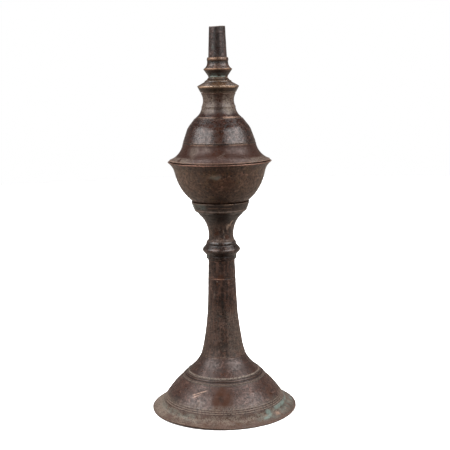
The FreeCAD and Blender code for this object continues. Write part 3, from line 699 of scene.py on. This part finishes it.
def make_foot():
    """The foot's brim is warped, so that its front left edge stands clear of the table."""
    skin = Skin("foot", 384, step=0.5)
    skin.uneven(22, 0.35, 1)
    skin.uneven(6, 0.16, 2)
    rim = smooth_step(np.hypot(skin.points[..., 0], skin.points[..., 1]), 46, 60)
    low = smooth_step(skin.points[..., 2], 14, 6)
    lift, lift_azimuth, lift_reach = 1.25, -28, 24
    away = np.degrees(np.arccos(np.cos(skin.azimuth - math.radians(lift_azimuth)))) / lift_reach
    wavy = 0.0625 * (1 + np.sin(5 * skin.azimuth + 1.1))
    skin.points[..., 2] += rim * low * (lift * np.exp(-away ** 2) + wavy)
    for azimuth, height, size, seed in ((-38, 1.5, 1.6, 16), (-9, 1.2, 1.3, 13), (22, 1.4, 1.8, 18),
                                        (64, 1.5, 1.4, 14)):
        skin.blotch("edge", azimuth, height, size, size, 0.6, deep=0.3, seed=seed)
    skin.masks["hollow"] *= 1 - 0.9 * smooth_step(skin.points[..., 2], 17, 14)
    skin.band("rust", 29.0, 31.0, 0.8, broken=-0.4, seed=3)
    skin.blotch("rust", -5, 20.0, 15, 22, 1.0, deep=0.05, seed=4)
    skin.blotch("rust", 6, 18.6, 9, 14, 0.85, seed=5)
    skin.blotch("soot_and_shade", -3, 19.5, 4.5, 8, 0.5, seed=2)
    skin.blotch("matt", -3, 19.5, 16, 24, 1.0, seed=35)
    skin.band("matt", 14, 60, 0.15)
    # Painted shade: the flare is darkened on its left and right, but not at the front.
    for left, right in ((-100, -18), (18, 100)):
        skin.band("soot_and_shade", 32.5, 47, 0.28, left, right, fade=16)
    skin.blotch("rust", -4, 30, 6, 10, 0.6, seed=6)
    skin.blotch("rust", 58, 17.4, 8, 12, 0.8, seed=7)
    skin.blotch("soot_and_shade", -58, 14, 8, 11, 0.6, seed=8)
    skin.blotch("soot_and_shade", 62, 13, 5, 7, 0.6, seed=9)
    skin.blotch("soot_and_shade", -51, 7.2, 2.6, 2.2, 0.9, seed=10)
    skin.blotch("chalk_and_highlight", -4.3, 14.3, 6, 4, 0.45, seed=11)
    for start, end, width in (((-37.8, 20.3), (-21.1, 24.6), 0.7), ((-37.1, 18.5), (-27.2, 22.1), 0.6),
                              ((-33, 17.2), (-27, 17.6), 0.6), ((-16.5, 19), (-14.5, 19.8), 0.8)):
        skin.stroke("bare", start, end, width, 0.8, deep=0.05)
    skin.blotch("chalk_and_highlight", -24, 16.6, 9, 2.4, 0.5, seed=12)
    skin.blotch("chalk_and_highlight", -24.4, 12.3, 4.2, 1.6, 0.7, seed=13)
    skin.band("chalk_and_highlight", 3.9, 5.6, 0.85, -70, 40, broken=0.05, seed=14)
    skin.band("chalk_and_highlight", 1.6, 4.4, 0.6, -110, -20, broken=0.2, seed=15)
    skin.band("chalk_and_highlight", 0.5, 8.5, 0.28)
    skin.band("chalk_and_highlight", 2.5, 8.5, 0.7, broken=0.45, seed=38)
    skin.band("rust", 0.8, 8.5, 0.75, -62, 36, broken=0.3, seed=39)
    skin.band("soot_and_shade", 1.2, 8.0, 0.4, broken=0.6, seed=40)
    for azimuth, height, wide, tall, seed in ((-44, 5.6, 12, 5, 49), (-30, 6.6, 9, 4, 53),
                                              (-14, 5.4, 10, 3, 57), (6, 5.8, 13, 3, 61),
                                              (24, 5.2, 9, 4, 66), (34, 6.4, 8, 3, 68)):
        skin.blotch("chalk_and_highlight", azimuth, height, wide, tall, 0.85, seed=seed)
    skin.band("chalk_and_highlight", 1.5, 7.8, 1.0, -135, -62, broken=-0.7, seed=33)
    skin.band("verdigris", 4.0, 8.0, 0.28, -130, -30, broken=0.3, seed=34)
    skin.band("matt", 1.0, 8.0, 0.9, broken=-0.4, seed=30)
    # Painted highlights: a pale line along each of the three raised lines just above the brim.
    for height in (9.45, 10.9, 12.3):
        skin.band("chalk_and_highlight", height - 0.35, height + 0.35, 0.8)
    skin.band("chalk_and_highlight", 8.5, 15.0, 0.3, broken=0.1, seed=37)
    # Painted highlights: pale bands on the beads above and below the belt's groove.
    for height, strength, seed in ((28.3, 0.6, 283), (32.2, 1.0, 322)):
        skin.band("chalk_and_highlight", height - 0.55, height + 0.55, strength, broken=-0.5, seed=seed)
    skin.blotch("chalk_and_highlight", -32, 4.6, 9, 3.0, 0.8, seed=16)
    skin.blotch("chalk_and_highlight", -79, 3.8, 5, 3.5, 0.8, seed=17)
    skin.blotch("verdigris", 43, 5.6, 10, 7, 1.0, seed=18)
    skin.blotch("verdigris", 39, 3.6, 8, 3.5, 0.9, seed=19)
    skin.band("verdigris", 5.6, 8.4, 1.0, 58, 100, broken=-0.4, seed=20)
    skin.blotch("verdigris", 95, 2.8, 10, 4, 1.0, seed=21)
    skin.band("verdigris", 2.0, 6.5, 0.3, 35, 110, broken=0.2, seed=22)
    skin.blotch("chalk_and_highlight", 51, 5.2, 9, 6, 0.9, seed=31)
    skin.blotch("bare", 53, 3.7, 5.0, 4.5, 0.8, seed=23)
    for azimuth, wide, seed in ((-140, 14, 24), (170, 11, 25), (128, 9, 26)):
        skin.blotch("verdigris", azimuth, 4.4, wide, 5, 0.8, seed=seed)
    for azimuth, height, seed in ((-120, 17, 27), (150, 22, 28), (100, 26, 29)):
        skin.blotch("rust", azimuth, height, 9, 12, 0.8, seed=seed)
    material = bronze("foot_bronze", (0.040, 0.015, 0.009), (0.074, 0.034, 0.023), (0.084, 0.029, 0.016),
                      (0.50, 0.34, 0.26), gloss=(0.28, 0.41), rubbed=0.3, flecks=0.5, seed=1.0)
    skin.build("foot_worn", "base", material)


def make_stem():
    """Filed up and down, most of all near the foot."""
    skin = Skin("stem", 256)
    skin.uneven(14, 0.22, 31)
    skin.uneven(3.5, 0.1, 32)
    skin.band("chalk_and_highlight", 46.3, 47.3, 0.55, -50, 70, broken=0.2, seed=33)
    skin.band("bare", 111.6, 112.5, 0.7, -70, 8, fade=4, broken=-0.2, seed=34)
    skin.band("chalk_and_highlight", 78.6, 79.6, 0.4, -20, 60, broken=0.2, seed=35)
    skin.band("matt", 40, 70, 0.2, broken=-0.5, seed=48)
    skin.band("chalk_and_highlight", 48, 86, 0.30, 20, 75, fade=14)
    skin.band("chalk_and_highlight", 46, 88, 0.14, -75, 4, fade=14)
    # Painted dark reflection: dark strips down the middle of the stem's front.
    skin.blotch("soot_and_shade", 0.6, 94, 5, 26, 0.75, seed=36)
    skin.blotch("soot_and_shade", -2, 120, 5, 14, 0.4, seed=37)
    skin.blotch("soot_and_shade", 9, 52.5, 2.2, 1.8, 1.0, seed=38)
    skin.blotch("soot_and_shade", 6, 58, 3, 3, 0.7, seed=39)
    skin.blotch("rust", 44, 84, 5, 12, 0.85, seed=40)
    skin.blotch("rust", -8, 113, 6, 6, 0.8, seed=41)
    skin.blotch("rust", -20, 107.5, 2.2, 5, 0.8, seed=42)
    skin.blotch("chalk_and_highlight", -20, 109.6, 1.6, 1.2, 0.8, seed=43)
    skin.stroke("chalk_and_highlight", (-33.7, 101.3), (-30, 97.3), 0.8, 0.5)
    skin.stroke("chalk_and_highlight", (-36, 98.5), (-34, 95.5), 0.7, 0.4)
    skin.stroke("chalk_and_highlight", (60, 124), (58, 120), 1.0, 0.4)
    for azimuth, low, high in ((9, 65, 75), (17, 63, 76), (25, 64, 74), (31, 65, 73), (-44, 53, 63),
                               (-34, 52, 62), (-24, 51, 61), (-13, 53, 60), (-8, 52, 58)):
        skin.stroke("chalk_and_highlight", (azimuth, high), (azimuth * 0.97, low), 0.6, 0.32, deep=0.05)
    for azimuth, height, wide, seed in ((140, 90, 8, 44), (-150, 70, 9, 45), (175, 110, 6, 46),
                                        (100, 60, 7, 47)):
        skin.blotch("rust", azimuth, height, wide, 14, 0.7, seed=seed)
    material = bronze("stem_bronze", (0.020, 0.0095, 0.006), (0.076, 0.038, 0.026), (0.084, 0.032, 0.019),
                      (0.42, 0.22, 0.15), gloss=(0.30, 0.42), rubbed=0.3, streaks=0.7, flecks=0.5, seed=2.0)
    skin.build("stem_worn", "base", material)


def make_knop():
    """Smoothed by the hand, so it is the glossiest piece of the base."""
    skin = Skin("stem_knop", 256, worn=0.25, step=0.5)
    skin.uneven(7, 0.14, 51)
    skin.uneven(2.5, 0.05, 52)
    skin.stroke("bare", (-24.7, 128.0), (-2, 127.7), 0.7, 0.8)
    skin.band("verdigris", 129, 131.5, 0.3, 60, 110)
    skin.band("verdigris", 129, 131.5, 0.3, -110, -60)
    material = bronze("knop_bronze", (0.018, 0.009, 0.006), (0.050, 0.027, 0.020), (0.052, 0.022, 0.015),
                      (0.40, 0.28, 0.23), gloss=(0.20, 0.31), rubbed=0.5, flecks=0.3, seed=3.0)
    skin.build("knop_worn", "base", material)


def make_pedestal():
    """Darker in a broken band just under the bowl, with a few chips and a pale run down it."""
    skin = Skin("bowl_pedestal", 256)
    skin.uneven(9, 0.2, 61)
    skin.uneven(3, 0.08, 62)
    # A broken dark band round the pedestal's top, just under the bowl.
    skin.band("soot_and_shade", 159, 169, 0.7, broken=-0.3, seed=63)
    skin.stroke("bare", (45, 160.5), (31, 156), 1.3, 1.0, deep=0.1)
    skin.stroke("bare", (40, 157), (27, 154.2), 1.4, 1.0, deep=0.1)
    skin.stroke("bare", (29, 157.5), (33, 155.5), 1.2, 0.9, deep=0.1)
    skin.stroke("bare", (24, 156.2), (29, 153.4), 0.9, 0.8, deep=0.1)
    skin.stroke("chalk_and_highlight", (8.3, 157.8), (10.5, 152), 0.7, 0.75)
    skin.stroke("chalk_and_highlight", (10.5, 152), (15.6, 146.7), 0.8, 0.85)
    skin.blotch("rust", 27, 146.5, 5, 5, 1.0, seed=64)
    skin.blotch("rust", -24, 151, 6, 7, 0.8, seed=65)
    skin.blotch("rust", 150, 152, 7, 9, 0.8, seed=66)
    skin.band("bare", 169.0, 169.9, 0.30, -80, 80, broken=0.1, seed=67)
    material = bronze("pedestal_bronze", (0.030, 0.016, 0.011), (0.088, 0.054, 0.040), (0.084, 0.038, 0.022),
                      (0.58, 0.44, 0.36), gloss=(0.26, 0.38), rubbed=0.3, streaks=0.45, flecks=0.5, seed=4.0)
    skin.build("pedestal_worn", "base", material)


def make_foot_ring():
    """Soldered round the bowl, with bright metal showing at the front."""
    skin = Skin("bowl_foot_ring", 320, step=0.5)
    skin.uneven(8, 0.12, 71)
    skin.band("bare", 172.4, 173.0, 0.5, -22, 20, fade=6, broken=0.1, seed=72)
    skin.stroke("bare", (7, 175.0), (24, 175.6), 0.8, 0.7)
    skin.band("verdigris", 170.2, 175.5, 0.35, -90, -38, broken=0.2, seed=73)
    material = bronze("foot_ring_bronze", (0.020, 0.011, 0.008), (0.045, 0.028, 0.021), (0.045, 0.024, 0.016),
                      (0.40, 0.25, 0.17), gloss=(0.30, 0.42), rubbed=0.35, seed=5.0)
    skin.build("foot_ring_worn", "base", material)


def make_bowl():
    """Brown and brassy outside, black with old oil inside. Its lip is rubbed to the metal."""
    skin = Skin("oil_bowl", 384)
    skin.uneven(26, 0.35, 81)
    skin.uneven(6, 0.14, 82)
    skin.band("bare", 208.3, 209.0, 0.95, -48, -2, fade=5, broken=-0.5, seed=83)
    skin.band("bare", 208.3, 209.0, 0.85, 10, 52, fade=5, broken=-0.4, seed=84)
    skin.band("bare", 208.3, 209.0, 0.4, broken=0.2, seed=85)
    skin.blotch("bare", 2.3, 191.2, 1.9, 1.9, 0.9, deep=0.15, seed=86)
    for start, end, width in (((26, 202.5), (30, 201), 0.9), ((27, 200.4), (29, 199.6), 0.7),
                              ((34, 201), (36, 200), 0.8), ((-19, 208.0), (-17, 207.4), 1.4)):
        skin.stroke("bare", start, end, width, 0.6)
    skin.blotch("chalk_and_highlight", -6, 200, 14, 6, 0.25, seed=87)
    skin.blotch("verdigris", -6, 199, 11, 4, 0.28, seed=88)
    skin.blotch("soot_and_shade", 0, 181, 16, 7, 0.5, seed=89)
    skin.blotch("rust", 6, 192, 30, 14, 0.45, seed=90)
    skin.band("chalk_and_highlight", 182, 207, 0.20, -80, -24, fade=20, broken=-0.2, seed=93)
    skin.band("chalk_and_highlight", 186, 207, 0.12, 26, 80, fade=18, broken=-0.2, seed=94)
    skin.blotch("rust", 140, 195, 22, 16, 0.6, seed=91)
    skin.blotch("soot_and_shade", -150, 188, 24, 12, 0.5, seed=92)
    skin.masks["soot_and_shade"] = np.where(skin.outer[:, None], skin.masks["soot_and_shade"], 0.85)
    material = bronze("bowl_bronze", (0.052, 0.022, 0.012), (0.108, 0.055, 0.033), (0.122, 0.067, 0.029),
                      PINK, gloss=(0.30, 0.42), rubbed=0.55, flecks=0.3, seed=6.0)
    skin.build("bowl_worn", "base", material)


def make_lid():
    """The lid's dome keeps the most shine, because the hand lifts it there."""
    skin = Skin("lid", 384)
    skin.uneven(24, 0.25, 101)
    skin.uneven(7, 0.1, 102)
    skin.band("bare", 223.4, 224.3, 0.45, -48, -12, fade=4, broken=-0.5, seed=103)
    skin.band("bare", 223.4, 224.3, 0.40, 17, 48, fade=4, broken=-0.5, seed=104)
    skin.band("soot_and_shade", 223.9, 225.0, 0.8)
    for azimuth, low, high in ((-25.2, 219.4, 222.4), (-21.6, 219.2, 222.2), (-19.6, 219.6, 222.0),
                               (-15.8, 219.2, 221.6)):
        skin.stroke("chalk_and_highlight", (azimuth, high), (azimuth + 1.2, low), 0.7, 0.55, deep=0.08)
    skin.stroke("chalk_and_highlight", (-3, 214.8), (7, 217.4), 0.8, 0.4)
    skin.stroke("chalk_and_highlight", (-1, 213.8), (5, 215.4), 0.7, 0.35)
    skin.blotch("chalk_and_highlight", -40, 218.5, 14, 11, 0.32, seed=106)
    skin.band("bare", 244.4, 245.6, 0.65, 14, 66, fade=6, broken=-0.2, seed=107)
    skin.band("bare", 244.6, 245.4, 0.45, -60, -12)
    skin.band("bare", 209.6, 210.6, 0.35, broken=0.1, seed=109)
    skin.blotch("chalk_and_highlight", 36, 254, 8, 14, 0.85, seed=110)
    skin.blotch("chalk_and_highlight", 25, 259, 5, 5, 0.5, seed=111)
    skin.blotch("soot_and_shade", 8, 252, 7, 10, 0.5, seed=112)
    skin.blotch("rust", 0, 232, 9, 16, 0.5, seed=113)
    skin.blotch("rust", -170, 230, 20, 14, 0.5, seed=114)
    skin.band("matt", 208, 224.2, 0.95, broken=-0.8, seed=115)
    skin.band("matt", 246.5, 266, 0.5, broken=-0.5, seed=117)
    # Painted highlights: the neck is made paler on its left and right sides, and a little at the front.
    skin.band("chalk_and_highlight", 249, 264, 0.65, -74, -20, fade=14, broken=-0.3, seed=118)
    skin.band("chalk_and_highlight", 249, 264, 0.2, -20, 20, fade=14, broken=-0.1, seed=121)
    skin.band("chalk_and_highlight", 249, 264, 0.65, 20, 68, fade=12, broken=-0.3, seed=119)
    skin.band("chalk_and_highlight", 209.6, 213.4, 0.6, -110, -42, broken=-0.1, seed=116)
    skin.band("chalk_and_highlight", 209.6, 213.4, 0.45, 42, 110, broken=-0.1, seed=120)
    skin.masks["soot_and_shade"] = np.where(skin.outer[:, None], skin.masks["soot_and_shade"], 0.85)
    material = bronze("lid_bronze", (0.021, 0.0065, 0.0035), (0.043, 0.016, 0.0095), (0.055, 0.018, 0.0095),
                      (0.50, 0.31, 0.22), gloss=(0.22, 0.30), grime=0.7, rubbed=0.35, flecks=0.25,
                      relief=0.5, seed=7.0)
    skin.build("lid_worn", "lid", material)


def make_locating_ring():
    """Under the lid, dark with soot and oil."""
    skin = Skin("lid_locating_ring", 256, step=0.9)
    skin.uneven(9, 0.12, 121)
    skin.masks["soot_and_shade"] += 0.5
    material = bronze("ring_bronze", (0.035, 0.022, 0.016), (0.080, 0.050, 0.038), (0.080, 0.045, 0.030),
                      COPPER, gloss=(0.3, 0.45), rubbed=0.6, seed=8.0)
    skin.build("locating_ring_worn", "lid", material)


def make_burner_cap():
    """Golden where the fingers lift it, with soot above and a painted shadow below, under its flange."""
    skin = Skin("burner_cap", 256, step=0.4)
    skin.uneven(6, 0.12, 131)
    skin.band("bare", 268.8, 270.0, 1.0, -62, -4, fade=8, broken=-0.6, seed=132)
    skin.band("bare", 268.8, 270.0, 1.0, 4, 50, fade=8, broken=-0.6, seed=133)
    skin.band("soot_and_shade", 273.6, 276.4, 0.4, broken=-0.2, seed=134)
    # Painted shadow: a broken dark band under the cap's flange.
    skin.band("soot_and_shade", 265.5, 268.2, 0.6, broken=-0.5, seed=135)
    skin.band("chalk_and_highlight", 264.7, 265.3, 0.6)
    material = bronze("cap_bronze", (0.042, 0.019, 0.008), (0.086, 0.043, 0.021), (0.100, 0.050, 0.021),
                      GOLD, gloss=(0.24, 0.34), rubbed=0.3, flecks=0.3, seed=9.0)
    skin.build("burner_cap_worn", "burner", material)


def make_burner_collar():
    """Copper shows on its bead and its ring, and verdigris in its neck."""
    skin = Skin("burner_collar", 256, step=0.4)
    skin.uneven(5, 0.1, 141)
    skin.band("bare", 290.8, 292.6, 0.38, -60, -8, fade=8, broken=-0.2, seed=142)
    skin.band("bare", 290.8, 292.6, 0.3, 8, 46, fade=8, broken=-0.1, seed=143)
    skin.band("bare", 283.0, 284.2, 0.5, -60, -4, fade=8, broken=-0.2, seed=144)
    skin.band("bare", 283.0, 284.2, 0.5, 6, 52, fade=8, broken=-0.2, seed=145)
    skin.band("soot_and_shade", 278.8, 282.4, 0.6)
    skin.band("verdigris", 276.0, 280.4, 0.3, -65, 45, broken=0.1, seed=147)
    skin.band("verdigris", 276.2, 278.4, 0.9, -60, 40)
    skin.band("soot_and_shade", 288.0, 290.2, 0.8)
    material = bronze("collar_bronze", (0.040, 0.018, 0.011), (0.080, 0.040, 0.026), (0.088, 0.034, 0.024),
                      (0.58, 0.33, 0.19), gloss=(0.28, 0.40), rubbed=0.3, flecks=0.3, seed=10.0)
    skin.build("burner_collar_worn", "burner", material)


def make_wick_tube():
    """Its top is burnt, ragged and not quite level."""
    skin = Skin("wick_tube", 192, worn=0.12, step=0.5)
    skin.uneven(5, 0.12, 151)
    skin.uneven(1.6, 0.05, 152)
    top = skin.rows[:, 1].max()
    near_top = smooth_step(skin.points[..., 2], top - 2.2, top)
    ragged = 0.2 * (1 + smooth_noise(skin.points * (1, 1, 0), 3.0, 153))
    ragged = ragged + 0.1 * (1 + smooth_noise(skin.points * (1, 1, 0), 0.9, 154))
    slope = 0.2 * (1 - np.sin(skin.azimuth - 0.2))
    skin.points[..., 2] -= near_top * (ragged + slope)
    skin.band("soot_and_shade", 294, 316, 0.6, -18, 14, fade=10)
    skin.band("soot_and_shade", 315, 318.5, 0.4)
    skin.masks["soot_and_shade"] = np.where(skin.outer[:, None], skin.masks["soot_and_shade"], 0.9)
    skin.blotch("verdigris", -30, 301, 3, 4, 0.35, seed=157)
    material = bronze("tube_bronze", (0.024, 0.013, 0.011), (0.072, 0.044, 0.038), (0.068, 0.030, 0.027),
                      COPPER, gloss=(0.26, 0.36), rubbed=0.3, streaks=0.4, flecks=0.35, seed=11.0)
    skin.build("wick_tube_worn", "burner", material)


def make_tie_bolt():
    """A forged bolt, with a rolled thread at its tail."""
    skin = Skin("tie_bolt", 72, step=0.16)
    pitch, depth, thread_top = 1.25, 0.42, 50.0
    height = skin.points[..., 2]
    ridge = np.abs((height / pitch - skin.azimuth / (2 * math.pi)) % 1 - 0.5) * 2
    threaded = smooth_step(height, thread_top, thread_top - 1) * (np.abs(skin.normals[..., 2]) < 0.5)
    skin.push(depth * ridge * threaded)
    skin.uneven(4, 0.06, 161)
    skin.build("tie_bolt_worn", "base", IRON)


def make_nut_and_washers():
    """The washers keep their CAD shape, and so does the nut but for its worn edges."""
    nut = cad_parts["foot_nut"]
    edges = nut.modifiers.new("worn_edges", "BEVEL")
    edges.width = 0.6 * MM
    edges.segments = 3
    edges.limit_method = "ANGLE"
    for name, material in (("foot_nut", IRON), ("foot_washer", IRON), ("bowl_washer", LEATHER)):
        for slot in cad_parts[name].material_slots:
            slot.material = material


for make in (make_foot, make_stem, make_knop, make_pedestal, make_foot_ring, make_bowl, make_lid,
             make_locating_ring, make_burner_cap, make_burner_collar, make_wick_tube, make_tie_bolt,
             make_nut_and_washers):
    make()

add_camera()
add_world(seen=(1.0, 1.0, 1.0), below=(0.52, 0.45, 0.39), level=(0.34, 0.305, 0.28),
          above=(0.05, 0.05, 0.055))
light_floor(add_floor(radius=1.8), wide=4.0, height=2.0, watts=260)
add_softbox("softbox_left", azimuth=-62, elevation=37, distance=1.1, wide=1.20, tall=0.64, watts=12.0)
add_softbox("softbox_right", azimuth=62, elevation=37, distance=1.1, wide=1.20, tall=0.64, watts=12.0)
add_softbox("softbox_top", azimuth=180, elevation=68, distance=1.1, wide=1.0, tall=0.8, watts=8)
bpy.context.scene.view_settings.view_transform = "Standard"
